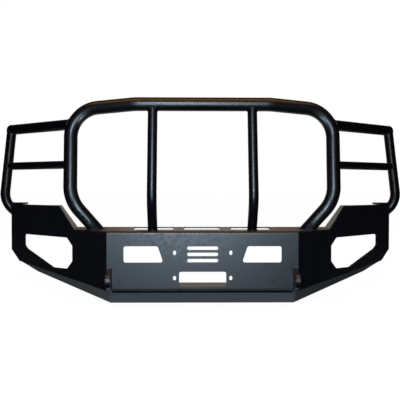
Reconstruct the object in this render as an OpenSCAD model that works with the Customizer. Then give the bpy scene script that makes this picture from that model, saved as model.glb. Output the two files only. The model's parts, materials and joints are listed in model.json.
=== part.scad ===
// Front bumper with grille guard, welded from steel plate and tube.
// Millimetres. X runs to the right as seen from in front, Y runs back to the truck, Z is up.
// The origin is the centre of the four frame bolts, on the rear faces of the frame flanges.

/* [Plates] */
// thickness of all body plates
plate_t = 6; // [5:0.5:8]
// outside radius of the folded top edge
fold_r = 14; // [11:0.5:18]
// outside radius of the folded lower edge of the face
low_r = 10; // [8:0.5:12]
// depth of the folded flanges and of the wing returns, from the front
flange_d = 40; // [34:1:50]

/* [Face plate] */
// width across the two front corners
face_w = 866; // [840:1:900]
// deck top above the frame bolts
deck_z = 155; // [150:1:165]
// lower edge of the face below the frame bolts
face_low = 115; // [112:1:125]
// front of the face to the frame
face_to_frame = 300; // [290:1:330]

/* [Winch bolts and fairlead] */
// sideways spacing of the winch bolts
winch_dx = 254; // [250:0.5:256]
// upright spacing of the winch bolts
winch_dz = 114.3; // [110:0.1:116]
// width of a winch bolt slot
winch_slot_w = 14; // [11:0.5:16]
// length of a winch bolt slot, end to end
winch_slot_l = 20; // [18:0.5:24]
// width of the fairlead window
fairlead_w = 213; // [190:1:220]
// height of the fairlead window
fairlead_h = 67; // [55:1:70]
// centre of the fairlead window below the frame bolts
fairlead_low = 62; // [60:1:66]

/* [Lamp ports and vents] */
// outer edge of a lamp port from the middle
port_out = 357; // [340:1:365]
// inner edge of a lamp port at its top, from the middle
port_in = 203; // [195:1:215]
// how much farther in the lower inner corner sits
port_slant = 25; // [10:1:30]
// top of the lamp ports
port_top = 87; // [80:1:95]
// bottom of the lamp ports
port_low = 13; // [5:1:25]
// length of a vent slot
vent_l = 140; // [100:1:160]
// height of a vent slot
vent_h = 16; // [10:1:20]
// spacing of the three vent slots
vent_step = 28; // [24:1:30]

/* [Wings] */
// sweep of the wings behind the face
wing_sweep = 34; // [30:0.5:38]
// length of a wing along its plate
wing_len = 622; // [600:1:650]
// top of the raised outer part
wing_top = 264; // [250:1:280]
// where the slanted edge leaves the deck, along the wing
slant_foot = 202; // [195:1:210]
// where the slanted edge meets the raised top, along the wing
slant_head = 296; // [285:1:310]
// rear edge of the slanted returns behind the face
slant_rear = 250; // [245:1:280]
// climb of the lower edge, in degrees
wing_rise = 10; // [8:0.5:12]
// lower end of the upright outer edge
outer_low = 40; // [30:1:55]
// length of the chamfer below the outer edge, along the wing
chamfer_l = 56; // [45:1:70]
// depth of the end plate behind the wing
end_d = 150; // [120:1:180]

/* [Wing windows] */
// inner edge of the window beyond the foot of the slant
window_in = 8; // [4:1:20]
// outer edge of the window to the end of the wing
window_out = 96; // [90:1:110]
// top of the window at its inner end
window_top = 115; // [105:1:122]
// bottom of the window
window_low = -31; // [-36:1:-20]
// climb of the window's top edge
window_lift = 5; // [0:1:10]
// height of the window's outer edge
window_edge = 54; // [40:1:60]
// length of the window's bottom edge
window_flat = 87; // [60:1:110]

/* [Valance] */
// drop of the under-slung strips
valance_drop = 62; // [50:1:70]
// tilt of the strips under the plates, in degrees
valance_tilt = 35; // [28:1:42]
// notches in the middle strip, from the middle
notch_x = 89; // [60:1:120]
// width and height of a notch
notch_w = 6; // [4:0.5:10]

/* [Deck and pan] */
// half width of the deck at its rear
deck_half = 612; // [608:1:625]
// front edge of the deck slots, behind the face
slot_front = 110; // [106:1:130]
// rear edge of the deck slots in front of the deck's rear edge
slot_margin = 15; // [12:1:40]
// half width of the middle slot
slot_mid = 86; // [70:1:95]
// inner edge of an outer slot
slot_in = 136; // [120:1:150]
// outer edge of an outer slot
slot_out = 327; // [300:1:340]
// depth of the bottom pan behind the face
pan_d = 218; // [200:1:240]

/* [Frame ribs] */
// middle of a rib from the centre
rib_x = 419; // [416:0.5:424]
// thickness of a rib and its recovery tab
rib_t = 19; // [16:0.5:22]
// shackle hole ahead of the face
tab_out = 58; // [50:1:70]
// shackle hole below the frame bolts
tab_low = 62; // [58:1:68]
// radius of the tab's nose
tab_r = 34; // [30:1:38]
// diameter of the shackle hole
shackle_d = 26; // [22:0.5:28]
// frame bolts outside the middle of a rib
frame_off = 36; // [30:1:40]
// upright spacing of the frame bolts
frame_dz = 120; // [100:1:130]
// diameter of a frame bolt hole
frame_hole_d = 17; // [13:0.5:22]
// width of a frame flange
flange_w = 110; // [104:1:125]
// height of a frame flange
flange_h = 180; // [170:1:200]
// thickness of a frame flange
flange_t = 10; // [8:0.5:14]
// depth of the gussets under the hoop's feet
gusset_h = 105; // [80:1:130]
// how far a gusset reaches past the hoop's foot
gusset_over = 40; // [35:1:50]

/* [Hoop and uprights] */
// diameter of the hoop
hoop_d = 63.5; // [57:0.5:70]
// diameter of the uprights
upright_d = 44.5; // [38:0.5:50.5]
// wall of all tubes
wall = 3; // [2:0.5:4]
// bend radius of the hoop on its centre line
hoop_bend = 130; // [115:1:140]
// bend radius of the uprights on their centre line
upright_bend = 110; // [90:1:140]
// hoop's top centre line above the deck
guard_h = 580; // [560:1:620]
// knee of the guard above the deck
knee_h = 140; // [130:1:160]
// knee of the uprights behind the face, negative is ahead of it
knee_y = -8; // [-20:1:10]
// top of the uprights behind the face
guard_top_y = 90; // [75:1:110]
// foot of the uprights behind the face
upright_y = 75; // [70:1:80]
// uprights from the middle
upright_x = 229.5; // [215:0.5:250]
// where the hoop's top bar turns back, from the middle
hoop_turn = 313; // [305:1:340]
// knees of the hoop from the middle
hoop_half = 606; // [600:1:625]
// how much wider the hoop is at its corners than at its knees, each side
hoop_flare = 10; // [0:1:20]
// sides of the hoop behind its middle part
hoop_back = 70; // [60:1:85]
// drop of the hoop from its turns to its corners
hoop_drop = 22; // [10:1:35]
// feet of the hoop from the middle
foot_x = 500; // [490:1:508]
// feet of the hoop behind the face
foot_y = 150; // [146:1:165]

/* [Lamp guards] */
// diameter of the top bars
bar_d = 50.8; // [50:0.1:56]
// diameter of the legs
leg_d = 48.3; // [45:0.1:49.5]
// diameter of the middle bars
mid_d = 38; // [32:0.5:42]
// bend radius of the legs on their centre line
leg_bend = 100; // [80:1:110]
// top bar above the deck
bar_h = 490; // [470:1:510]
// middle bar above the deck
mid_h = 301; // [285:1:315]
// leg outside the end plate
leg_out = 39; // [30:1:45]
// top of the leg inside its knee
leg_tuck = 11; // [0:1:20]
// leg's knee behind the wing's end
leg_back = 15; // [10:1:25]
// leg's knee above the raised top
leg_knee = 13; // [10:1:25]
// lean of the leg, in degrees
leg_lean = 16.8; // [12:0.2:20]
// thickness of the guard foot
pad_t = 9; // [6:0.5:10]
// width of the guard foot
pad_w = 67; // [55:1:80]
// reach of the guard foot behind the wing's end
pad_back = 70; // [60:1:90]

/* [Hidden] */
$fn = 64;
coat = [0.09, 0.09, 0.1];
half_w = face_w / 2;
mitre = tan(wing_sweep / 2);
end_mitre = tan((90 - wing_sweep) / 2);
end_x = half_w + wing_len * cos(wing_sweep);
end_y = wing_len * sin(wing_sweep);
frame_x = rib_x + frame_off;
window_r = 10;
slot_r = 12;
// bevels of a wing window, along and up
window_bevel = [34, 37];
window_nick = 17;
// notch below the valance's top edge, and how deep it goes into the plate
notch_low = 2;
notch_deep = 4;
// height of an end plate's rear edge
end_rear_h = 110;
// nose of a guard foot, along the wing's end and behind it
pad_nose = [12, 14];
// a rib's rear slope and the lift of its tab above the face's lower edge
rib_slope = 30;
tab_lift = 2;
// a tab's flanks meet its round nose just inside it
nose_in = 0.5;
// flare of a tab's root above its nose
tab_flare = 13;
gusset_tip = 20;
// direction of a leg below its knee
leg_toe = [-100, 40, -100];
// how far cutters run past what they cut
past = 1;
// how far raw pieces run past the edges that are cut off later
spare = 60;
// how far a cutter runs to clear the whole guard
far = 400;
// gap around a recovery tab in its notch
tab_gap = 0.5;
// bent tube is this much thicker at its bends
bend_swell = 0.2;
// a straight tube runs this far into its bend
bend_lap = 0.5;
// turn of a tube about its own line, which puts its seam on its side
seam_turn = 90;
// the strips hang this far behind the front, just under the plates
valance_in = plate_t - 0.5;
// drop of a wing valance so that it meets the centre one
wing_drop = (valance_drop + (valance_in + valance_drop * tan(valance_tilt)) * mitre * sin(wing_rise))
  / cos(wing_rise);
// where a wing valance starts to run out, and how wide it still is there
taper_x = wing_len - 157;
taper_part = 0.44;
taper_end = wing_len - 52;
guard_z = deck_z + guard_h;
knee_z = deck_z + knee_h;
lean = (guard_top_y - knee_y) / (guard_h - knee_h);
bar_z = deck_z + bar_h;
mid_z = deck_z + mid_h;
leg_x = end_x + leg_out;
leg_z = wing_top + leg_knee;
leg_y = end_y + leg_back;
// corner balls stand this much proud of the top bars, all round
ball_proud = 1;
// lip of a ball inside its bar
cap_lip = 2;
ball_d = bar_d + 2 * ball_proud;
vent_z = (port_top + port_low) / 2;
corner_z = guard_z - hoop_drop;

// points of the guard, behind the face
function plane_y(z) = knee_y + (z - knee_z) * lean;
function side_y(z) = plane_y(z) + hoop_back;
function leg_at(z) = leg_y + (z - leg_z) * tan(leg_lean);
function hoop_x(z) = hoop_half + hoop_flare * (z - knee_z) / (corner_z - knee_z);
function leg_x_at(z) = leg_x - leg_tuck * (z - leg_z) / (bar_z - leg_z);
function hoop_half_run() = [
  [hoop_turn, guard_top_y, guard_z],
  [hoop_x(corner_z), side_y(corner_z), corner_z],
  [hoop_half, side_y(knee_z), knee_z],
  [foot_x, foot_y, deck_z]];
function mirrored(p) = [for (i = [0 : len(p) - 1]) i == 0 ? -p[0] : p[i]];
hoop_run = concat([for (i = [3 : -1 : 0]) mirrored(hoop_half_run()[i])], hoop_half_run());
upright_run = [
  [upright_x, upright_y, deck_z],
  [upright_x, knee_y, knee_z],
  [upright_x, guard_top_y, guard_z]];
bar_from = [hoop_x(bar_z), side_y(bar_z), bar_z];
bar_to = [leg_x_at(bar_z), leg_at(bar_z), bar_z];
mid_from = [hoop_x(mid_z), side_y(mid_z), mid_z];
mid_to = [leg_x_at(mid_z), leg_at(mid_z), mid_z];
leg_run = [bar_to, [leg_x, leg_y, leg_z], [leg_x, leg_y, leg_z] + leg_toe];

// points on a wing, from its place along the plate and behind it
function wing_at(s, n) = [
  half_w + s * cos(wing_sweep) - n * sin(wing_sweep),
  s * sin(wing_sweep) + n * cos(wing_sweep)];

// polygon with rounded corners
function unit(v) = v / norm(v);
function turn(a, p, b) = acos(unit(p - a) * unit(b - p));
function rounded(pts, r) = [
  for (i = [0 : len(pts) - 1])
    let (
      p = pts[i],
      a = pts[(i + len(pts) - 1) % len(pts)],
      b = pts[(i + 1) % len(pts)],
      u = unit(a - p),
      v = unit(b - p),
      half = acos(u * v) / 2,
      c = p + unit(u + v) * r / sin(half),
      from = p + u * r / tan(half) - c,
      to = p + v * r / tan(half) - c,
      sweep = acos(from * to / (r * r)),
      side = from[0] * to[1] - from[1] * to[0] > 0 ? 1 : -1)
      for (k = [0 : 6])
        let (w = side * sweep * k / 6)
          c + [from[0] * cos(w) - from[1] * sin(w), from[0] * sin(w) + from[1] * cos(w)]];

// tubes through a run of points, lapped at the bends
function lead(pts, i, r) =
  i == 0 || i == len(pts) - 1 ? 0 : r * tan(turn(pts[i - 1], pts[i], pts[i + 1]) / 2) - bend_lap;
module straight(a, b, d) {
  v = b - a;
  translate(a)
    rotate([0, acos(v[2] / norm(v)), atan2(v[1], v[0])])
      rotate([0, 0, seam_turn])
        cylinder(d = d, h = norm(v));
}
module bend(a, p, b, r, d) {
  u = unit(p - a);
  v = unit(b - p);
  n = unit(v - u * (u * v));
  c = p - u * r * tan(turn(a, p, b) / 2) + n * r;
  z = cross(-n, u);
  multmatrix([
    [-n[0], u[0], z[0], c[0]],
    [-n[1], u[1], z[1], c[1]],
    [-n[2], u[2], z[2], c[2]],
    [0, 0, 0, 1]])
    rotate_extrude(angle = turn(a, p, b))
      translate([r, 0])
        circle(d = d + bend_swell);
}
module tube(pts, r, d) {
  for (i = [0 : len(pts) - 2]) {
    u = unit(pts[i + 1] - pts[i]);
    straight(pts[i] + u * lead(pts, i, r), pts[i + 1] - u * lead(pts, i + 1, r), d);
  }
  for (i = [1 : 1 : len(pts) - 2])
    bend(pts[i - 1], pts[i], pts[i + 1], r, d);
}
// the same run, longer at both ends
function longer(pts, more) = [
  for (i = [0 : len(pts) - 1])
    i == 0 ? pts[0] + unit(pts[0] - pts[1]) * more
    : i == len(pts) - 1 ? pts[i] + unit(pts[i] - pts[i - 1]) * more
    : pts[i]];
module pipe(pts, r, d) {
  difference() {
    tube(pts, r, d);
    tube(longer(pts, past), r, d - 2 * wall);
  }
}

// placing and cutting
module at_face() {
  translate([0, -face_to_frame, 0])
    children();
}
module on_wing() {
  translate([half_w, 0, 0])
    rotate([0, 0, wing_sweep])
      children();
}
// flat shape in the plane of the front, made thick from y0 to y1
module thick(y0, y1) {
  translate([0, y1, 0])
    rotate([90, 0, 0])
      linear_extrude(y1 - y0)
        children();
}
// side view, made long from x0 to x1
module long(x0, x1) {
  translate([x0, 0, 0])
    rotate([90, 0, 90])
      linear_extrude(x1 - x0)
        children();
}
// plan view, made tall from z0 to z1
module tall(z0, z1) {
  translate([0, 0, z0])
    linear_extrude(z1 - z0)
      children();
}
// keeps what lies between the two corner mitres
module face_mitre() {
  intersection() {
    children();
    tall(-far, far)
      polygon([
        [-half_w - past * mitre, -past],
        [half_w + past * mitre, -past],
        [half_w - far * mitre, far],
        [-half_w + far * mitre, far]]);
  }
}
// takes away what lies on the face's side of a wing's mitre
module wing_mitre() {
  difference() {
    children();
    tall(-far, far)
      polygon([[-far, -past], [-past * mitre, -past], [far * mitre / 2, far / 2], [-far, far / 2]]);
  }
}

// a quarter of a round fold, from straight ahead to straight up
module fold(r) {
  difference() {
    circle(r = r);
    circle(r = r - plate_t);
    translate([0, -2 * r])
      square(4 * r);
    translate([-2 * r, -4 * r])
      square(4 * r);
  }
}
// side view of a sheet folded back at its top
module folded(low) {
  translate([0, low])
    square([plate_t, deck_z - fold_r - low]);
  translate([fold_r, deck_z - fold_r])
    fold(fold_r);
  translate([fold_r, deck_z - plate_t])
    square([flange_d - fold_r, plate_t]);
}
// side view of the fold at the lower edge of the face
module low_fold() {
  translate([low_r, low_r - face_low])
    mirror([0, 1])
      fold(low_r);
  translate([low_r, -face_low])
    square([flange_d - low_r, plate_t]);
}
// side view of an under-slung strip below a plate's lower edge
module strip(drop) {
  polygon([
    [0, 0],
    [drop * tan(valance_tilt), -drop],
    [drop * tan(valance_tilt) + plate_t * cos(valance_tilt), -drop + plate_t * sin(valance_tilt)],
    [plate_t / cos(valance_tilt), 0]]);
}
module winch_slot(x, z) {
  long_half = (winch_slot_l - winch_slot_w) / 2;
  for (dz = [-long_half, long_half])
    translate([x, -past, z + dz])
      rotate([-90, 0, 0])
        cylinder(d = winch_slot_w, h = plate_t + 2 * past);
  translate([x - winch_slot_w / 2, -past, z - long_half])
    cube([winch_slot_w, plate_t + 2 * past, 2 * long_half]);
}
module box_window(x0, z0, x1, z1, r) {
  polygon(rounded([[x0, z0], [x1, z0], [x1, z1], [x0, z1]], r));
}

module face_shape() {
  port = [
    [port_out, port_low],
    [port_out, port_top],
    [port_in, port_top],
    [port_in - port_slant, port_low]];
  difference() {
    face_mitre()
      long(-half_w - past, half_w + past) {
        folded(low_r - face_low);
        low_fold();
      }
    thick(-past, plate_t + past) {
      box_window(-fairlead_w / 2, -fairlead_low - fairlead_h / 2,
        fairlead_w / 2, -fairlead_low + fairlead_h / 2, window_r);
      polygon(rounded(port, window_r));
      polygon(rounded([for (p = port) [-p[0], p[1]]], window_r));
      for (i = [-1 : 1])
        box_window(-vent_l / 2, vent_z + i * vent_step - vent_h / 2,
          vent_l / 2, vent_z + i * vent_step + vent_h / 2, vent_h / 2 - 0.1);
      for (x = [-rib_x, rib_x])
        translate([x - rib_t / 2 - tab_gap, -face_low - past])
          square([rib_t + 2 * tab_gap, tab_root_top() + face_low + past + tab_gap]);
    }
    for (x = [-rib_x, rib_x])
      translate([x - rib_t / 2 - tab_gap, plate_t, -face_low - past])
        cube([rib_t + 2 * tab_gap, flange_d, low_r + 2 * past]);
    for (x = [-1, 1])
      for (z = [-1, 1])
        winch_slot(x * winch_dx / 2, z * winch_dz / 2);
  }
}

module deck_shape() {
  // the deck's outer edge reaches the back of the wing here, past its fold, or else the fold
  edge = (deck_half - half_w + plate_t * sin(wing_sweep)) / cos(wing_sweep);
  at_fold = edge + (flange_d - plate_t) * tan(wing_sweep);
  along_wing = edge > slant_foot
    ? [wing_at(slant_foot, flange_d), wing_at(slant_foot, plate_t), wing_at(edge, plate_t)]
    : [wing_at(min(at_fold, slant_foot), flange_d)];
  outer = concat(
    [[half_w - flange_d * mitre, flange_d]],
    along_wing,
    [[deck_half, face_to_frame]]);
  tall(deck_z - plate_t, deck_z)
    difference() {
      polygon(concat(outer, [for (i = [len(outer) - 1 : -1 : 0]) mirrored(outer[i])]));
      for (x = [[-slot_out, -slot_in], [-slot_mid, slot_mid], [slot_in, slot_out]])
        box_window(x[0], slot_front, x[1], face_to_frame - slot_margin, slot_r);
    }
}

module pan_shape() {
  inner = rib_x - rib_t / 2;
  translate([-inner, flange_d, -face_low])
    cube([2 * inner, pan_d - flange_d, plate_t]);
}

module valance_shape() {
  difference() {
    face_mitre()
      translate([0, valance_in, -face_low])
        long(-half_w, half_w)
          strip(valance_drop);
    for (x = [-notch_x, notch_x])
      translate([x - notch_w / 2, -past, -face_low - notch_low - notch_w])
        cube([notch_w, past + valance_in + notch_low + notch_deep, notch_w]);
  }
}

module wing_shape() {
  s0 = slant_foot + window_in;
  s1 = wing_len - window_out;
  s2 = wing_len + spare;
  low = -face_low - spare;
  edge_z = window_top + window_lift - window_edge;
  on_wing()
    wing_mitre()
      difference() {
        union() {
          long(-spare, slant_foot)
            folded(low);
          thick(0, plate_t)
            polygon([
              [slant_foot, low],
              [s2, low],
              [s2, wing_top],
              [slant_head, wing_top],
              [slant_foot, deck_z]]);
        }
        thick(-past, plate_t + past) {
          polygon([
            [-2 * spare, -face_low - 2 * spare * tan(wing_rise)],
            [wing_len - chamfer_l, -face_low + (wing_len - chamfer_l) * tan(wing_rise)],
            [wing_len, outer_low],
            [s2 + past, outer_low],
            [s2 + past, -far],
            [-2 * spare, -far]]);
          polygon(rounded([
            [s0 + window_bevel[0], window_top],
            [s1, window_top + window_lift],
            [s1, edge_z],
            [s1 - window_nick, edge_z - window_nick],
            [s0 + window_bevel[0] + window_flat, window_low],
            [s0 + window_bevel[0], window_low],
            [s0, window_low + window_bevel[1]],
            [s0, window_top - window_bevel[1]]], window_r));
        }
        tall(-far, far)
          polygon([
            [wing_len + past * end_mitre, -past],
            [wing_len - (plate_t + past) * end_mitre, plate_t + past],
            [s2 + past, plate_t + past],
            [s2 + past, -past]]);
      }
}

module cap_shape() {
  rise = wing_top - deck_z;
  foot = wing_at(slant_foot, 0)[0];
  head = wing_at(slant_head, 0)[0];
  thin = plate_t * norm([rise, head - foot]) / rise;
  // the rear edge runs straight across to here, then along the wing
  join = (slant_rear - flange_d * cos(wing_sweep)) / sin(wing_sweep);
  difference() {
    union() {
      thick(0, slant_rear)
        polygon([[foot, deck_z], [head, wing_top], [head + thin, wing_top], [foot + thin, deck_z]]);
      tall(wing_top - plate_t, wing_top)
        polygon([
          [head, 0],
          [head, slant_rear],
          wing_at(join, flange_d),
          wing_at(wing_len + spare, flange_d),
          wing_at(wing_len + spare, 0)]);
    }
    on_wing()
      translate([-far, plate_t - far, -far])
        cube([3 * far, far, 2 * far]);
    translate([end_x - plate_t, 0, 0])
      cube([far, 2 * far, far]);
  }
}

module wing_valance_shape() {
  on_wing()
    wing_mitre()
      translate([0, valance_in, -face_low])
        rotate([0, -wing_rise, 0])
          difference() {
            long(-spare, wing_len)
              strip(wing_drop);
            thick(-past, far / 2)
              polygon([
                [-2 * spare, -wing_drop - 2 * spare * wing_drop * (1 - taper_part) / taper_x],
                [taper_x, -wing_drop * taper_part],
                [taper_end, 0],
                [taper_end, past],
                [wing_len + past, past],
                [wing_len + past, -far / 2],
                [-2 * spare, -far / 2]]);
          }
}

module end_shape() {
  difference() {
    long(end_x - plate_t, end_x)
      polygon([
        [end_y, outer_low],
        [end_y, wing_top],
        [end_y + end_d, wing_top],
        [end_y + end_d, wing_top - end_rear_h],
        [end_y + end_d / 2, outer_low]]);
    tall(-far, far)
      polygon([
        [end_x + past, end_y - past * end_mitre],
        [end_x - plate_t - past, end_y + (plate_t + past) * end_mitre],
        [end_x - plate_t - past, end_y - spare],
        [end_x + past, end_y - spare]]);
  }
}

module pad_shape() {
  edge = end_y + plate_t / 2;
  tall(wing_top, wing_top + pad_t)
    polygon([
      [end_x - pad_w, edge - pad_w * tan(wing_sweep)],
      [end_x - pad_nose[0], edge - pad_nose[0] * tan(wing_sweep)],
      [end_x, end_y + pad_nose[1]],
      [end_x, end_y + pad_back],
      [end_x - pad_w, end_y + pad_back]]);
}

function tab_root_top() = -tab_low + tab_r + tab_flare;
module rib_shape() {
  rear = face_to_frame - flange_t;
  root_low = -face_low + tab_lift;
  nose = -tab_out - tab_r / 10;
  difference() {
    union() {
      long(rib_x - rib_t / 2, rib_x + rib_t / 2)
        polygon([
          [plate_t, deck_z - fold_r - plate_t],
          [plate_t + fold_r, deck_z - plate_t],
          [rear - rib_slope, deck_z - plate_t],
          [rear, flange_h / 2],
          [rear, -flange_h / 2],
          [pan_d, -face_low],
          [plate_t, -face_low],
          [plate_t, root_low],
          [0, root_low],
          [nose, -tab_low - tab_r + nose_in],
          [nose, -tab_low + tab_r - nose_in],
          [0, tab_root_top()],
          [plate_t, tab_root_top()]]);
      translate([rib_x - rib_t / 2, -tab_out, -tab_low])
        rotate([0, 90, 0])
          cylinder(r = tab_r, h = rib_t);
    }
    translate([rib_x - rib_t, -tab_out, -tab_low])
      rotate([0, 90, 0])
        cylinder(d = shackle_d, h = 2 * rib_t);
  }
}

module frame_flange_shape() {
  difference() {
    translate([frame_x - flange_w / 2, face_to_frame - flange_t, -flange_h / 2])
      cube([flange_w, flange_t, flange_h]);
    for (z = [-1, 1])
      translate([frame_x, face_to_frame - flange_t - past, z * frame_dz / 2])
        rotate([-90, 0, 0])
          cylinder(d = frame_hole_d, h = flange_t + 2 * past);
  }
}

module gusset_shape() {
  side = rib_x + rib_t / 2;
  under = deck_z - plate_t;
  thick(foot_y - plate_t / 2, foot_y + plate_t / 2)
    polygon([
      [side, under],
      [foot_x + gusset_over, under],
      [foot_x + gusset_over, under - gusset_tip],
      [side, under - gusset_h]]);
}

// cuts a tube off level with the deck
module off_deck() {
  difference() {
    children();
    translate([-far * 2, -far, deck_z - far])
      cube([far * 4, far * 3, far]);
  }
}
module hoop_shape() {
  off_deck()
    pipe(longer(hoop_run, spare), hoop_bend, hoop_d);
}
module upright_shape() {
  difference() {
    off_deck()
      pipe(longer(upright_run, spare), upright_bend, upright_d);
    translate([0, guard_top_y, guard_z])
      rotate([0, 90, 0])
        cylinder(d = hoop_d, h = upright_x + upright_d);
    translate([0, -far, guard_z])
      cube([far, 2 * far, far]);
  }
}
module bar_shape() {
  difference() {
    straight(bar_from, bar_to, bar_d);
    straight(bar_from, bar_to + unit(bar_to - bar_from) * past, bar_d - 2 * wall);
    tube(hoop_run, hoop_bend, hoop_d);
    translate(bar_to)
      sphere(d = ball_d);
  }
}
// hollow ball that closes the corner of a lamp guard, open into the top bar
module bar_cap_shape() {
  difference() {
    translate(bar_to)
      sphere(d = ball_d);
    translate(bar_to)
      sphere(d = ball_d - 2 * wall);
    straight(bar_from, bar_to, bar_d - 2 * wall - 2 * cap_lip);
  }
}
module leg_shape() {
  difference() {
    pipe(leg_run, leg_bend, leg_d);
    straight(bar_from, bar_to, bar_d);
    translate(bar_to)
      sphere(d = ball_d);
    translate([end_x - far, 0, wing_top + pad_t - 2 * far])
      cube([far, 2 * far, 2 * far]);
  }
}
module mid_shape() {
  difference() {
    straight(mid_from, mid_to, mid_d);
    straight(mid_from, mid_to, mid_d - 2 * wall);
    tube(hoop_run, hoop_bend, hoop_d);
    straight(leg_run[0], leg_run[1], leg_d);
  }
}

// pieces
module face_plate() color(coat) at_face() face_shape();
module deck_plate() color(coat) at_face() deck_shape();
module bottom_pan() color(coat) at_face() pan_shape();
module center_valance() color(coat) at_face() valance_shape();
module left_wing_plate() color(coat) mirror([1, 0, 0]) at_face() wing_shape();
module right_wing_plate() color(coat) at_face() wing_shape();
module left_wing_cap() color(coat) mirror([1, 0, 0]) at_face() cap_shape();
module right_wing_cap() color(coat) at_face() cap_shape();
module left_wing_valance() color(coat) mirror([1, 0, 0]) at_face() wing_valance_shape();
module right_wing_valance() color(coat) at_face() wing_valance_shape();
module left_end_plate() color(coat) mirror([1, 0, 0]) at_face() end_shape();
module right_end_plate() color(coat) at_face() end_shape();
module left_guard_foot() color(coat) mirror([1, 0, 0]) at_face() pad_shape();
module right_guard_foot() color(coat) at_face() pad_shape();
module left_frame_rib() color(coat) mirror([1, 0, 0]) at_face() rib_shape();
module right_frame_rib() color(coat) at_face() rib_shape();
module left_frame_flange() color(coat) mirror([1, 0, 0]) at_face() frame_flange_shape();
module right_frame_flange() color(coat) at_face() frame_flange_shape();
module left_hoop_gusset() color(coat) mirror([1, 0, 0]) at_face() gusset_shape();
module right_hoop_gusset() color(coat) at_face() gusset_shape();
module main_hoop() color(coat) at_face() hoop_shape();
module left_upright() color(coat) mirror([1, 0, 0]) at_face() upright_shape();
module right_upright() color(coat) at_face() upright_shape();
module left_lamp_bar() color(coat) mirror([1, 0, 0]) at_face() bar_shape();
module right_lamp_bar() color(coat) at_face() bar_shape();
module left_bar_cap() color(coat) mirror([1, 0, 0]) at_face() bar_cap_shape();
module right_bar_cap() color(coat) at_face() bar_cap_shape();
module left_lamp_leg() color(coat) mirror([1, 0, 0]) at_face() leg_shape();
module right_lamp_leg() color(coat) at_face() leg_shape();
module left_mid_bar() color(coat) mirror([1, 0, 0]) at_face() mid_shape();
module right_mid_bar() color(coat) at_face() mid_shape();

face_plate();
deck_plate();
bottom_pan();
center_valance();
left_wing_plate();
right_wing_plate();
left_wing_cap();
right_wing_cap();
left_wing_valance();
right_wing_valance();
left_end_plate();
right_end_plate();
left_guard_foot();
right_guard_foot();
left_frame_rib();
right_frame_rib();
left_frame_flange();
right_frame_flange();
left_hoop_gusset();
right_hoop_gusset();
main_hoop();
left_upright();
right_upright();
left_lamp_bar();
right_lamp_bar();
left_bar_cap();
right_bar_cap();
left_lamp_leg();
right_lamp_leg();
left_mid_bar();
right_mid_bar();
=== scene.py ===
import json
import math
import bmesh
import bpy
from mathutils import Matrix, Vector, noise
from mathutils.bvhtree import BVHTree


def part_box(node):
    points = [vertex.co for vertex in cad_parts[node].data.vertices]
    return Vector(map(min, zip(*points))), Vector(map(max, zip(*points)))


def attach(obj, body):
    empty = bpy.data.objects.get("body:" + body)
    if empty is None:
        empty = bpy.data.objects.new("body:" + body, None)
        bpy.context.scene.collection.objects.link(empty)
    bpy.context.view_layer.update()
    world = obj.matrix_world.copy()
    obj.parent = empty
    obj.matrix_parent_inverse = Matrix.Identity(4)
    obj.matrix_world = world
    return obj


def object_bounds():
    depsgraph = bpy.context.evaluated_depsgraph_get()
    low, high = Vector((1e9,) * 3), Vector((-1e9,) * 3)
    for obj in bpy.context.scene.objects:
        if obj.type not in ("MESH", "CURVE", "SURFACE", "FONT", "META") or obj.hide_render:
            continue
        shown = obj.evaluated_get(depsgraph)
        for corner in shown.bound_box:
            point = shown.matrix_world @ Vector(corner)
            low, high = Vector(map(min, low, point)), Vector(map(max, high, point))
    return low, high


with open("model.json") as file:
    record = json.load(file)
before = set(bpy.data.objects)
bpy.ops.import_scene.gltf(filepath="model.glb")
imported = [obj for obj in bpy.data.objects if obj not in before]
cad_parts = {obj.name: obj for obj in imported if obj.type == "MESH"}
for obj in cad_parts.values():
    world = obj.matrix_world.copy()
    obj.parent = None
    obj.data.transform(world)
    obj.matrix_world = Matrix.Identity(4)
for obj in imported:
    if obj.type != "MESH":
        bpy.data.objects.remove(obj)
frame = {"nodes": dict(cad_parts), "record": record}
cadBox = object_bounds()  # the CAD box, before anything is added
nodes = frame["nodes"]
scene = bpy.context.scene
scene.view_settings.view_transform = "Standard"
print("frame loaded:", len(nodes), "nodes")

# camera, where the photograph was taken from
photoCamera = {
    "place": (-0.065, -3.304, 0.3735),  # metres
    "yaw": 1.0,  # degrees, towards +X
    "pitch": -1.485,  # degrees, looking a little down
    "roll": 0.061,  # degrees, anticlockwise
    "lens": 60.13, "sensor": 36.0,  # mm
    "reach": 200,  # metres, as far as it sees
}


def addObject(name, data):
    obj = bpy.data.objects.new(name, data)
    scene.collection.objects.link(obj)
    return obj


def makeCamera(cam):
    data = bpy.data.cameras.new("photoCamera")
    data.lens = cam["lens"]
    data.sensor_width = cam["sensor"]
    data.clip_end = cam["reach"]
    obj = addObject("photoCamera", data)
    aim = Matrix.Rotation(math.radians(-cam["yaw"]), 4, "Z")
    aim @= Matrix.Rotation(math.radians(90 + cam["pitch"]), 4, "X")
    aim @= Matrix.Rotation(math.radians(cam["roll"]), 4, "Z")
    obj.matrix_world = Matrix.Translation(cam["place"]) @ aim
    scene.camera = obj


makeCamera(photoCamera)
print("camera set")


# small helpers for node trees
def newNode(tree, kind, **values):
    # a value goes to the node's own property or else to the socket of that name
    node = tree.nodes.new(kind)
    for key, value in values.items():
        if hasattr(node, key):
            setattr(node, key, value)
        else:
            node.inputs[key.replace("_", " ")].default_value = value
    return node


def link(tree, out, into):
    tree.links.new(out, into)


def combine(tree, operation, first, second):
    node = newNode(tree, "ShaderNodeMath", operation=operation)
    link(tree, first, node.inputs[0])
    link(tree, second, node.inputs[1])
    return node.outputs[0]


def remap(tree, value, span, result=(0, 1)):
    node = newNode(tree, "ShaderNodeMapRange", From_Min=span[0], From_Max=span[1],
                   To_Min=result[0], To_Max=result[1])
    link(tree, value, node.inputs["Value"])
    return node.outputs[0]


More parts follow.
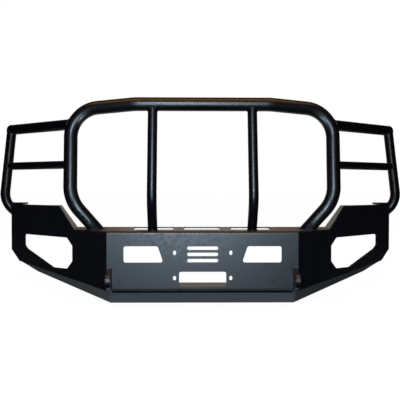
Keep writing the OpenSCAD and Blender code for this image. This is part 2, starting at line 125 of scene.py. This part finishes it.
def mixShaders(tree, share, first, second):
    mix = newNode(tree, "ShaderNodeMixShader")
    for out, socket in zip((share, first, second), mix.inputs):
        link(tree, out, socket)
    return mix.outputs[0]


def mixColours(tree, share, first, second):
    # a Mix node has its colours in sockets 6 and 7 and the mixed one in 2; a tuple is a fixed colour
    mix = newNode(tree, "ShaderNodeMix", data_type="RGBA")
    link(tree, share, mix.inputs[0])
    for socket, colour in ((6, first), (7, second)):
        if isinstance(colour, tuple):
            mix.inputs[socket].default_value = colour
        else:
            link(tree, colour, mix.inputs[socket])
    return mix.outputs[2]


def seesBackground(tree):
    # one for camera, glossy and transmission rays, which see the white background
    rays = newNode(tree, "ShaderNodeLightPath").outputs
    seen = combine(tree, "MAXIMUM", rays["Is Camera Ray"], rays["Is Glossy Ray"])
    return combine(tree, "MAXIMUM", seen, rays["Is Transmission Ray"])


def newMaterial(name):
    material = bpy.data.materials.new(name)
    material.use_nodes = True
    material.node_tree.nodes.clear()
    return material, material.node_tree


def showShader(tree, shader):
    link(tree, shader, newNode(tree, "ShaderNodeOutputMaterial").inputs[0])


# studio: white background, pale floor, soft lamps, and cards that only reflections see
studio = {
    "ambient": 0.5,  # soft light on the floor and the paint
    "floorSize": 60.0,  # metres across
    "floorColour": (0.86, 0.86, 0.86, 1),
    "floorLift": 0.88,  # how much of the floor is the white background
    "floorGlow": 1.07,  # strength of that white
}
coolLight = (0.69, 0.85, 1.0)
lampLegs = ("left_lamp_leg", "right_lamp_leg")
lamps = {  # a lamp lights only the nodes in "lights", where it has any, and keeps off those in "spares"
    "keyLamp": {"place": (-0.18, -3.7, 1.75), "aim": (0.0, -0.3, 0.3), "size": (0.65, 0.8),
                "watts": 84, "colour": coolLight, "glossOnly": False, "spares": lampLegs},
    "guardSheen": {"place": (-0.18, -3.7, 3.1), "aim": (0.0, -0.3, 0.3), "size": (0.65, 0.3),
                   "watts": 32, "colour": (0.78, 0.85, 0.92), "glossOnly": True, "lights": lampLegs},
    "lowSheen": {"place": (-0.13, -3.7, 0.36), "aim": (0.0, -0.3, 0.1), "size": (0.9, 0.35),
                 "watts": 54, "colour": (0.66, 0.83, 1.0), "glossOnly": True},
    "warmCeiling": {"place": (0.0, -0.6, 2.8), "aim": (0.0, -0.1, 0.3), "size": (3.4, 1.2),
                    "watts": 38, "colour": (1.0, 0.42, 0.08), "glossOnly": True},
    "legSheenLeft": {"place": (-0.12, -0.78, -0.16), "aim": (-0.53, -0.17, 0.2), "size": (0.4, 0.8),
                     "watts": 1.9, "colour": coolLight, "glossOnly": True,
                     "lights": ("main_hoop",), "spread": 50},
    "legSheenRight": {"place": (0.09, -0.80, -0.15), "aim": (0.53, -0.17, 0.2), "size": (0.4, 0.8),
                      "watts": 1.9, "colour": coolLight, "glossOnly": True,
                      "lights": ("main_hoop",), "spread": 50},
    "rearSheen": {"place": (0.25, 3.2, 2.1), "aim": (0.0, 0.0, 0.2), "size": (1.2, 0.6),
                  "watts": 2, "colour": (0.88, 0.94, 1.0), "glossOnly": True},
}
widestSpread = 180  # degrees, for lamps that name none
flags = {
    "flagLeft": {"centre": (-2.4, -0.6, 1.4), "size": (0.02, 8.0, 4.0), "glow": (0, 0, 0)},
    "flagRight": {"centre": (2.4, -0.6, 1.4), "size": (0.02, 8.0, 4.0), "glow": (0, 0, 0)},
    "flagFront": {"centre": (0, -4.6, 1.4), "size": (4.8, 0.02, 4.0), "glow": (0, 0, 0)},
    "flagCeiling": {"centre": (0, -0.6, 3.4), "size": (4.8, 8.0, 0.02), "glow": (0, 0, 0)},
    "warmWall": {"centre": (0, 3.4, 1.4), "size": (4.8, 0.02, 4.0), "glow": (0.30, 0.22, 0.16)},
    "warmPatch": {"centre": (0, 3.38, 0.95), "size": (1.5, 0.02, 0.6), "glow": (0.9, 0.81, 0.74)},
}
cloth = {
    "lift": 0.006,  # of the dark cloth above the floor, and of the back cloth above that
    "half": 2.4, "front": -4.6, "rear": 3.4,  # edges of the dark cloth
    "line": ((-1.0, 0.06), (-0.43, -0.3), (0.43, -0.3), (1.0, 0.06)),  # plates' lower edge from above
    "gap": (-0.03, 0.06),  # pale strip ahead of that line and behind it
    "strip": ((0.33, 0.37, 0.40), (0.66, 0.82, 0.98), (0.17, 0.20, 0.22)),  # left, middle and right
    "back": ((-1.3, 0.35), (1.3, 1.9)),  # two corners of a pale cloth behind, for the rear faces
    "backGlow": (0.62, 0.66, 0.70),
}


def makeWorld():
    world = bpy.data.worlds.new("studioWorld")
    scene.world = world
    world.use_nodes = True
    tree = world.node_tree
    tree.nodes.clear()
    level = studio["ambient"]
    soft = newNode(tree, "ShaderNodeBackground", Color=(level, level, level, 1))
    white = newNode(tree, "ShaderNodeBackground", Color=(1, 1, 1, 1))
    sky = mixShaders(tree, seesBackground(tree), soft.outputs[0], white.outputs[0])
    link(tree, sky, newNode(tree, "ShaderNodeOutputWorld").inputs[0])


def makeFloor():
    half = studio["floorSize"] / 2
    low = cadBox[0].z
    mesh = bpy.data.meshes.new("floor")
    corners = [(-half, -half, low), (half, -half, low), (half, half, low), (-half, half, low)]
    mesh.from_pydata(corners, [], [(0, 1, 2, 3)])
    floor = addObject("floor", mesh)
    paint, tree = newMaterial("paleFloor")
    matt = newNode(tree, "ShaderNodeBsdfDiffuse", Color=studio["floorColour"])
    white = newNode(tree, "ShaderNodeEmission", Color=(1, 1, 1, 1), Strength=studio["floorGlow"])
    share = remap(tree, seesBackground(tree), (0, 1), (0, studio["floorLift"]))
    showShader(tree, mixShaders(tree, share, matt.outputs[0], white.outputs[0]))
    mesh.materials.append(paint)


def linkedNodes(name, names, state):
    # a collection of CAD nodes for a lamp to light or to spare
    chosen = bpy.data.collections.new(name)
    for node in names:
        chosen.objects.link(nodes[node])
    for entry in chosen.collection_objects:
        entry.light_linking.link_state = state
    return chosen


def makeLamp(name, lamp):
    data = bpy.data.lights.new(name, "AREA")
    data.shape = "RECTANGLE"
    data.size, data.size_y = lamp["size"]
    data.energy = lamp["watts"]
    data.color = lamp["colour"]
    data.spread = math.radians(lamp.get("spread", widestSpread))
    obj = addObject(name, data)
    obj.location = lamp["place"]
    aim = Vector(lamp["aim"]) - obj.location
    obj.rotation_euler = aim.to_track_quat("-Z", "Y").to_euler()
    obj.visible_camera = False
    obj.visible_diffuse = not lamp["glossOnly"]
    if "lights" in lamp:
        # nothing else shades these nodes from it
        chosen = linkedNodes(name, lamp["lights"], "INCLUDE")
        obj.light_linking.receiver_collection = chosen
        obj.light_linking.blocker_collection = chosen
    if "spares" in lamp:
        obj.light_linking.receiver_collection = linkedNodes(name, lamp["spares"], "EXCLUDE")


def makeCard(name, mesh, colour, place=(0, 0, 0)):
    # a dark or glowing card that reflections alone see
    card = addObject(name, mesh)
    card.location = place
    felt, tree = newMaterial(name)
    showShader(tree, newNode(tree, "ShaderNodeEmission", Color=(*colour, 1)).outputs[0])
    mesh.materials.append(felt)
    card.visible_camera = False
    card.visible_diffuse = False
    card.visible_transmission = False
    card.visible_shadow = False


def makeFlag(name, flag):
    mesh = bpy.data.meshes.new(name)
    bm = bmesh.new()
    bmesh.ops.create_cube(bm, size=1, matrix=Matrix.Diagonal((*flag["size"], 1)))
    bm.to_mesh(mesh)
    bm.free()
    makeCard(name, mesh, flag["glow"], flag["centre"])


def makeCloth():
    # dark cloth on the floor with a pale strip under the plates, and a pale cloth behind them
    z = cadBox[0].z + cloth["lift"]
    half = cloth["half"]
    ahead, behind = ([(x, y + shift, z) for x, y in cloth["line"]] for shift in cloth["gap"])
    middle = cloth["line"][0][1]
    left, right = (-half, middle, z), (half, middle, z)
    front = [(-half, cloth["front"], z), (half, cloth["front"], z), right, *ahead[::-1], left]
    rear = [left, *behind, right, (half, cloth["rear"], z), (-half, cloth["rear"], z)]
    panels = {"floorCloth": ([front, rear], (0, 0, 0))}
    (x0, y0), (x1, y1) = cloth["back"]
    z += cloth["lift"]
    back = [(x0, y0, z), (x1, y0, z), (x1, y1, z), (x0, y1, z)]
    panels["backCloth"] = ([back], cloth["backGlow"])
    for i, name in enumerate(("stripLeft", "stripMiddle", "stripRight")):
        strip = [ahead[i], ahead[i + 1], behind[i + 1], behind[i]]
        panels[name] = ([strip], cloth["strip"][i])
    for name, (shapes, glow) in panels.items():
        starts = [0]
        for shape in shapes:
            starts.append(starts[-1] + len(shape))
        faces = [range(*pair) for pair in zip(starts, starts[1:])]
        mesh = bpy.data.meshes.new(name)
        mesh.from_pydata(sum(shapes, []), [], faces)
        makeCard(name, mesh, glow)


makeWorld()
makeFloor()
makeCloth()
for lampName, lampSettings in lamps.items():
    makeLamp(lampName, lampSettings)
for flagName, flagSettings in flags.items():
    makeFlag(flagName, flagSettings)
print("studio lit")

# powder coats
# each coat's share of the brown film on faces that look up is partly real dusting and partly painted
# light
coats = {
    "plateCoat": {
        "colour": (0.0014, 0.0016, 0.0045), "mottle": 0.3, "rough": (0.33, 0.46), "gloss": 1.6,
        "grain": 650.0, "grainDepth": 0.00012,
        "edge": 0.0012, "edgeColour": (0.012, 0.012, 0.013), "dustAndTopLight": 0.08,
    },
    "tubeCoat": {
        "colour": (0.0013, 0.0016, 0.0038), "mottle": 0.25, "rough": (0.32, 0.36), "gloss": 1.5,
        "grain": 900.0, "grainDepth": 0.000012,
        "edge": 0.0010, "edgeColour": (0.009, 0.009, 0.01), "dustAndTopLight": 0.02,
    },
    "weldCoat": {
        "colour": (0.0014, 0.0015, 0.0035), "mottle": 0.4, "rough": (0.38, 0.5), "gloss": 1.5,
        "grain": 1400.0, "grainDepth": 0.00010,
        "edge": 0.0006, "edgeColour": (0.008, 0.008, 0.008), "dustAndTopLight": 0.03,
    },
    # painted shade: a matte black coat for the strip that stands in for the shade along the face's lower
    # fold
    "foldShadeCoat": {
        "colour": (0.0012, 0.0014, 0.004), "mottle": 0.3, "rough": (0.8, 0.95), "gloss": 1.1,
        "grain": 900.0, "grainDepth": 0.00004,
        "edge": 0.0003, "edgeColour": (0.003, 0.003, 0.004), "dustAndTopLight": 0.0,
    },
}
powder = {  # what the coats share
    "broad": (7.0, 4.0),  # scale and detail of the slow mottle
    "patch": (85.0, 3.0),  # scale and detail of the small patches in sheen and wear
    "patchSpan": (0.3, 0.7),  # part of the patches' range that the sheen follows
    "grainDetail": 2.0, "grainStrength": 0.6,
    "edgeSamples": 4,
    "edgeBend": (0.99, 0.75),  # how well the softened normal keeps to the true one, sound to worn
    "dustAndTopLightSlope": (0.6, 1.0),  # how squarely a face looks up, from no brown film to the full film of dusting and painted top light
    # brown of that film, partly dusting and partly painted warm light on tops
    "dustAndTopLightColour": (0.10, 0.085, 0.07, 1),
}


def makeCoat(name, coat):
    material, tree = newMaterial(name)
    paint = newNode(tree, "ShaderNodeBsdfPrincipled", IOR=coat["gloss"])
    showShader(tree, paint.outputs[0])
    where = newNode(tree, "ShaderNodeTexCoord").outputs["Object"]

    def texture(scale, detail):
        cloud = newNode(tree, "ShaderNodeTexNoise", Scale=scale, Detail=detail)
        link(tree, where, cloud.inputs["Vector"])
        return cloud.outputs[0]

    broad = texture(*powder["broad"])
    patch = texture(*powder["patch"])
    grain = texture(coat["grain"], powder["grainDetail"])

    # colour: slow mottle, paler worn edges, and on what faces up a brown film that is partly real
    # dusting and partly painted light, lighter tops standing in for the warm light they reflect
    deep = (*(c * (1 - coat["mottle"]) for c in coat["colour"]), 1)
    pale = (*(c * (1 + coat["mottle"]) for c in coat["colour"]), 1)
    mottled = mixColours(tree, broad, deep, pale)

    normal = newNode(tree, "ShaderNodeNewGeometry").outputs["Normal"]
    bevel = newNode(tree, "ShaderNodeBevel", samples=powder["edgeSamples"], Radius=coat["edge"])
    soft = bevel.outputs[0]
    bend = newNode(tree, "ShaderNodeVectorMath", operation="DOT_PRODUCT")
    link(tree, soft, bend.inputs[0])
    link(tree, normal, bend.inputs[1])
    edge = remap(tree, bend.outputs["Value"], powder["edgeBend"])
    rubbed = combine(tree, "MULTIPLY", edge, patch)
    worn = mixColours(tree, rubbed, mottled, (*coat["edgeColour"], 1))

    # painted light and dusting: faces that look up get the brown film, lighter tops standing in for
    # reflected warm light
    up = newNode(tree, "ShaderNodeSeparateXYZ")
    link(tree, normal, up.inputs[0])
    film = remap(tree, up.outputs["Z"], powder["dustAndTopLightSlope"], (0, coat["dustAndTopLight"]))
    dustAndTopLightShare = combine(tree, "MULTIPLY", film, broad)
    dustyAndTopLit = mixColours(tree, dustAndTopLightShare, worn, powder["dustAndTopLightColour"])
    link(tree, dustyAndTopLit, paint.inputs["Base Color"])

    # sheen of the coat, uneven in small patches
    sheen = remap(tree, patch, powder["patchSpan"], coat["rough"])
    link(tree, sheen, paint.inputs["Roughness"])

    # fine powder grain over softened edges
    bump = newNode(tree, "ShaderNodeBump", Strength=powder["grainStrength"], Distance=coat["grainDepth"])
    link(tree, grain, bump.inputs["Height"])
    link(tree, soft, bump.inputs["Normal"])
    link(tree, bump.outputs[0], paint.inputs["Normal"])
    return material


paints = {name: makeCoat(name, coat) for name, coat in coats.items()}
coatOfSlot = {"plate_coat": "plateCoat", "tube_coat": "tubeCoat"}
for part in frame["record"]["subparts"]:
    for slot in nodes[part["node"]].material_slots:
        slot.material = paints[coatOfSlot[part["material_slot"]]]
print("coats on:", ", ".join(paints))

# weld beads, laid where tubes and plates meet, in metres
bead = {
    "tube": 0.0034, "plate": 0.0045,  # radius on tubes and on plates
    "legTop": 0.75,  # share of that radius at the top of a lamp leg
    "step": 0.0013, "ring": 10,  # length of a slice, and points round it
    "fewest": 4,  # slices in the shortest bead
    "pitch": 0.0052, "ripple": 0.16,  # length of a ripple, and its share of the radius
    "wander": 0.1, "wanderScale": 60,  # how uneven the radius is, and how quickly it changes
    "taper": (0.45, 0.2),  # share of the radius at an open end, and growth with each slice
    "sharp": 32,  # degrees, the least turn across an edge that may hold a bead
    "shortest": 0.08,  # least length of an edge round a tube
    "endDepth": 0.012,  # how far apart the edges of one end lie along the tube
    "level": 0.001,  # how near the deck's top the edge of a foot lies
    "touch": 0.0004, "turns": 32,  # how near a tube's end lies to what it stands on, and points round it
    "slope": 0.03,  # how far ahead of its flange a rib leaves the deck
}
joinWithin = 1e-5  # metres between vertices that are one


def openMesh(names):
    # a scratch mesh of some CAD nodes with their split vertices joined
    bm = bmesh.new()
    for name in names:
        bm.from_mesh(nodes[name].data)
    bmesh.ops.remove_doubles(bm, verts=bm.verts, dist=joinWithin)
    return bm


def surfaceOf(names):
    bm = openMesh(names)
    surface = BVHTree.FromBMesh(bm)
    bm.free()
    return surface


def sharpRings(node):
    # closed runs of sharp edges on a CAD node, each a list of points
    bm = openMesh([node])
    bm.edges.index_update()
    least = math.radians(bead["sharp"])
    inside = [e for e in bm.edges if len(e.link_faces) == 2]
    left = {e.index: e for e in inside if e.calc_face_angle(0) > least}
    rings = []
    while left:
        start, at = left.pop(next(iter(left))).verts
        run = [start, at]
        while at is not start:
            onward = [e for e in at.link_edges if e.index in left]
            if not onward:
                break
            at = left.pop(onward[0].index).other_vert(at)
            run.append(at)
        if at is start:
            rings.append([v.co.copy() for v in run[:-1]])
    bm.free()
    return rings


def perimeter(points):
    return sum((points[i] - points[i - 1]).length for i in range(len(points)))


def centreOf(points):
    return sum(points, Vector()) / len(points)


def endRing(node, towards):
    # outer edge of the end of a tube that lies farthest in a direction
    aim = Vector(towards).normalized()
    rings = [run for run in sharpRings(node) if perimeter(run) > bead["shortest"]]
    reach = max(centreOf(run).dot(aim) for run in rings)
    last = [run for run in rings if centreOf(run).dot(aim) > reach - bead["endDepth"]]
    return max(last, key=perimeter)


def contactRing(node, targets, along):
    # outer edge of a tube's end where it stands against other nodes, in order round the tube
    surface = surfaceOf(targets)
    bm = openMesh([node])
    points = [v.co.copy() for v in bm.verts]
    bm.free()
    touching = [p for p in points if surface.find_nearest(p, bead["touch"])[0] is not None]
    middle = centreOf(touching)
    across = Vector(along).orthogonal().normalized()
    other = Vector(along).normalized().cross(across)
    rim = {}
    for p in touching:
        x, y = (p - middle).dot(across), (p - middle).dot(other)
        turn = round(math.atan2(y, x) * bead["turns"] / (2 * math.pi)) % bead["turns"]
        if turn not in rim or math.hypot(x, y) > rim[turn][0]:
            rim[turn] = (math.hypot(x, y), p)
    return [rim[turn][1] for turn in sorted(rim)]


def evenly(points, step, closed):
    # points at equal steps along a run
    path = points + points[:1] if closed else points
    lengths = [0.0]
    for a, b in zip(path, path[1:]):
        lengths.append(lengths[-1] + (b - a).length)
    count = max(bead["fewest"], round(lengths[-1] / step))
    out, k = [], 0
    for i in range(count if closed else count + 1):
        s = lengths[-1] * i / count
        while k < len(lengths) - 2 and lengths[k + 1] < s:
            k += 1
        span = lengths[k + 1] - lengths[k]
        out.append(path[k].lerp(path[k + 1], (s - lengths[k]) / span if span else 0))
    return out


def layBead(name, points, closed, radius):
    # a rippled bead of weld along a run of points
    path = evenly(points, bead["step"], closed)
    count = len(path)
    mesh = bpy.data.meshes.new(name)
    bm = bmesh.new()
    rings = []
    side = None
    for i, p in enumerate(path):
        before = path[i - 1] if closed or i else p
        after = path[(i + 1) % count] if closed or i < count - 1 else p
        along = (after - before).normalized()
        if side is None:
            side = along.orthogonal().normalized()
        side = (side - along * side.dot(along)).normalized()
        other = along.cross(side)
        wave = abs(math.sin(math.pi * i * bead["step"] / bead["pitch"]))
        size = radius * (1 - bead["ripple"] + bead["ripple"] * wave)
        size *= 1 + bead["wander"] * noise.noise(p * bead["wanderScale"])
        if not closed:
            start, growth = bead["taper"]
            size *= min(1.0, start + growth * min(i, count - 1 - i))
        ring = []
        for k in range(bead["ring"]):
            a = 2 * math.pi * k / bead["ring"]
            ring.append(bm.verts.new(p + (side * math.cos(a) + other * math.sin(a)) * size))
        rings.append(ring)
    pairs = list(zip(rings, rings[1:]))
    if closed:
        # the last ring meets the first at its nearest turn
        gaps = [(rings[-1][0].co - v.co).length for v in rings[0]]
        turn = gaps.index(min(gaps))
        pairs.append((rings[-1], rings[0][turn:] + rings[0][:turn]))
    for a, b in pairs:
        for k in range(bead["ring"]):
            n = (k + 1) % bead["ring"]
            bm.faces.new((a[k], a[n], b[n], b[k]))
    if not closed:
        bm.faces.new(rings[0][::-1])
        bm.faces.new(rings[-1])
    bmesh.ops.recalc_face_normals(bm, faces=bm.faces)
    for face in bm.faces:
        face.smooth = True
    bm.to_mesh(mesh)
    bm.free()
    obj = addObject(name, mesh)
    mesh.materials.append(paints["weldCoat"])
    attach(obj, "root")


def tubeWelds(side):
    hand = 1 if side == "right" else -1
    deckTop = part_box("deck_plate")[1].z
    hoopRings = [run for run in sharpRings("main_hoop") if centreOf(run).x * hand > 0]
    feet = [run for run in hoopRings if abs(centreOf(run).z - deckTop) < bead["level"]]
    upright, midBar, lampBar, lampLeg = (
        f"{side}_{name}" for name in ("upright", "mid_bar", "lamp_bar", "lamp_leg"))
    footPlates = [f"{side}_end_plate", f"{side}_guard_foot"]
    barRun = (hand, 1, 0)  # the lamp bar runs out and back
    toeRun = (hand, -0.4, 1)  # the lamp leg rises from its foot, out and forward
    rings = {
        "hoop.foot": max(feet, key=perimeter),
        "upright.foot": endRing(upright, (0, 0, -1)),
        "upright.top": endRing(upright, (0, 0, 1)),
        "midBar.hoopEnd": endRing(midBar, (-hand, 0, 0)),
        "midBar.legEnd": endRing(midBar, (hand, 0, 0)),
        "lampLeg.top": endRing(lampLeg, (0, 0, 1)),
        "lampBar.hoopEnd": contactRing(lampBar, ["main_hoop"], barRun),
        "lampLeg.foot": contactRing(lampLeg, footPlates, toeRun),
    }
    for name, ring in rings.items():
        size = bead["tube"] * (bead["legTop"] if name == "lampLeg.top" else 1)
        layBead(f"weld.{side}.{name}", ring, True, size)


def plateWelds(side):
    # fillet beads on the rib and the gusset, from the boxes of the plates that meet
    inner, outer = (0, 1) if side == "right" else (1, 0)
    rib, flange, gusset = (
        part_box(f"{side}_{name}") for name in ("frame_rib", "frame_flange", "hoop_gusset"))
    deck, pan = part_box("deck_plate"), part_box("bottom_pan")
    flangeFront = flange[0].y
    ribEnd = flangeFront - bead["slope"]
    runs = {}
    for face, x in (("in", rib[inner].x), ("out", rib[outer].x)):
        runs[f"flange.{face}"] = ((x, flangeFront, flange[0].z), (x, flangeFront, flange[1].z))
        runs[f"deck.{face}"] = ((x, deck[0].y, deck[0].z), (x, ribEnd, deck[0].z))
    x = rib[inner].x
    runs["pan"] = ((x, pan[0].y, pan[1].z), (x, pan[1].y, pan[1].z))
    root, tip = gusset[inner].x, gusset[outer].x
    low, high = gusset[0].z, gusset[1].z
    for face, y in (("front", gusset[0].y), ("rear", gusset[1].y)):
        runs[f"gusset.{face}"] = ((root, y, low), (root, y, high))
        runs[f"gussetDeck.{face}"] = ((root, y, high), (tip, y, high))
    for name, run in runs.items():
        points = [Vector(p) for p in run]
        layBead(f"weld.{side}.rib.{name}", points, False, bead["plate"])


for sideName in ("left", "right"):
    tubeWelds(sideName)
    plateWelds(sideName)
print("welds laid")

# painted shade: a dark matte strip standing in for the shade along the face's lower fold, where the face
# meets the valance under it, between the two ribs, in metres
foldShade = {
    "top": -0.113, "foot": -0.125,  # heights
    "rows": 8,  # bands across it
    "proud": 0.0003, "sunk": 0.0004,  # above the plates and below their surface
    "clear": 0.0005,  # gap to the ribs
    "readAt": 0.5,  # where the plates' profile is read, as a share of the way out to a rib
    "readFrom": 1.0,  # how far ahead of the object the reading starts
}


def layFoldShade():
    # painted shade: a thin dark strip laid over the fold between the face and the valance
    plates = surfaceOf(["face_plate", "center_valance"])
    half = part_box("right_frame_rib")[0].x - foldShade["clear"]
    outer, inner = [], []
    for i in range(foldShade["rows"] + 1):
        z = foldShade["top"] + (foldShade["foot"] - foldShade["top"]) * i / foldShade["rows"]
        start = Vector((half * foldShade["readAt"], cadBox[0].y - foldShade["readFrom"], z))
        hit, facing = plates.ray_cast(start, Vector((0, 1, 0)))[:2]
        outer.append(hit + facing * foldShade["proud"])
        inner.append(hit - facing * foldShade["sunk"])
    outline = outer + inner[::-1]
    corners = [Vector((x, p.y, p.z)) for x in (-half, half) for p in outline]
    count = len(outline)
    faces = [range(count), range(2 * count - 1, count - 1, -1)]
    for i in range(count):
        n = (i + 1) % count
        faces.append((i, i + count, n + count, n))
    mesh = bpy.data.meshes.new("seam.fold")
    mesh.from_pydata(corners, [], faces)
    obj = addObject("seam.fold", mesh)
    mesh.materials.append(paints["foldShadeCoat"])
    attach(obj, "root")


layFoldShade()
print("seam laid")
